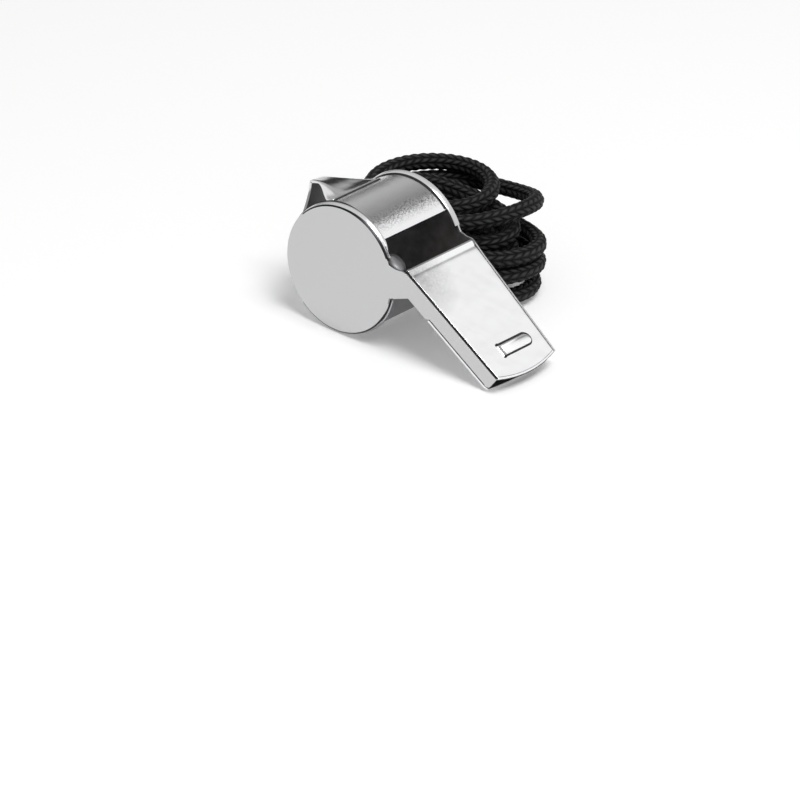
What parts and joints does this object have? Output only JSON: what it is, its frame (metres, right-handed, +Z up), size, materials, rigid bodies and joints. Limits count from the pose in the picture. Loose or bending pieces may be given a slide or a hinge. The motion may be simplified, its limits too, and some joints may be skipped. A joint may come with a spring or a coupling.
{
  "type": "sports_whistle",
  "caption": "Pressed stainless pea whistle with a flanged barrel, flat mouthpiece and back strap, lying with its black braided neck cord, crimped ferrule and swivel snap hook",
  "frame": {"origin": "under the middle of the whistle's length, on the floor it lies on", "axes": "+Z up, +X towards the mouthpiece tip, Y along the barrel's axis"},
  "size_m": [0.0608, 0.0529, 0.0227],
  "materials": {
    "cheeks": "polished stainless sheet",
    "shell": "polished stainless sheet",
    "inner_sheet": "plain stainless sheet",
    "cork": "agglomerated cork",
    "fittings": "nickel plate",
    "pins": "turned steel",
    "braid": "braided polyester cord"
  },
  "bodies": {
    "whistle": {"near_cheek": "cheeks", "far_cheek": "cheeks", "body_strip": "shell", "mouthpiece_top": "shell", "windway_ramp": "inner_sheet", "lanyard_strap": "shell", "cord_ferrule": "fittings", "swivel_post": "pins", "cord_lead_out": "braid", "cord_coil": "braid", "cord_lead_back": "braid"},
    "pea": {"pea": "cork"},
    "hook": {"hook_body": "fittings", "gate_rivet": "pins"},
    "gate": {"hook_gate": "fittings"}
  },
  "joints": [
    {"name": "pea_roll", "type": "hinge", "parent": "whistle", "child": "pea", "pos_m": [-0.00992, -0.00228, 0.01135], "axis": [0, 1, 0], "continuous": true},
    {"name": "hook_swivel", "type": "hinge", "parent": "whistle", "child": "hook", "pos_m": [-0.02998, 0.0175, 0.0032], "axis": [0.342, -0.9397, 0], "continuous": true},
    {"name": "gate_hinge", "type": "hinge", "parent": "hook", "child": "gate", "pos_m": [-0.02892, 0.0146, 0.00532], "axis": [0.9397, 0.342, 0], "range_deg": [0, 20], "stiffness_Nm_per_rad": 0.0004, "springref_deg": -9.74}
  ]
}
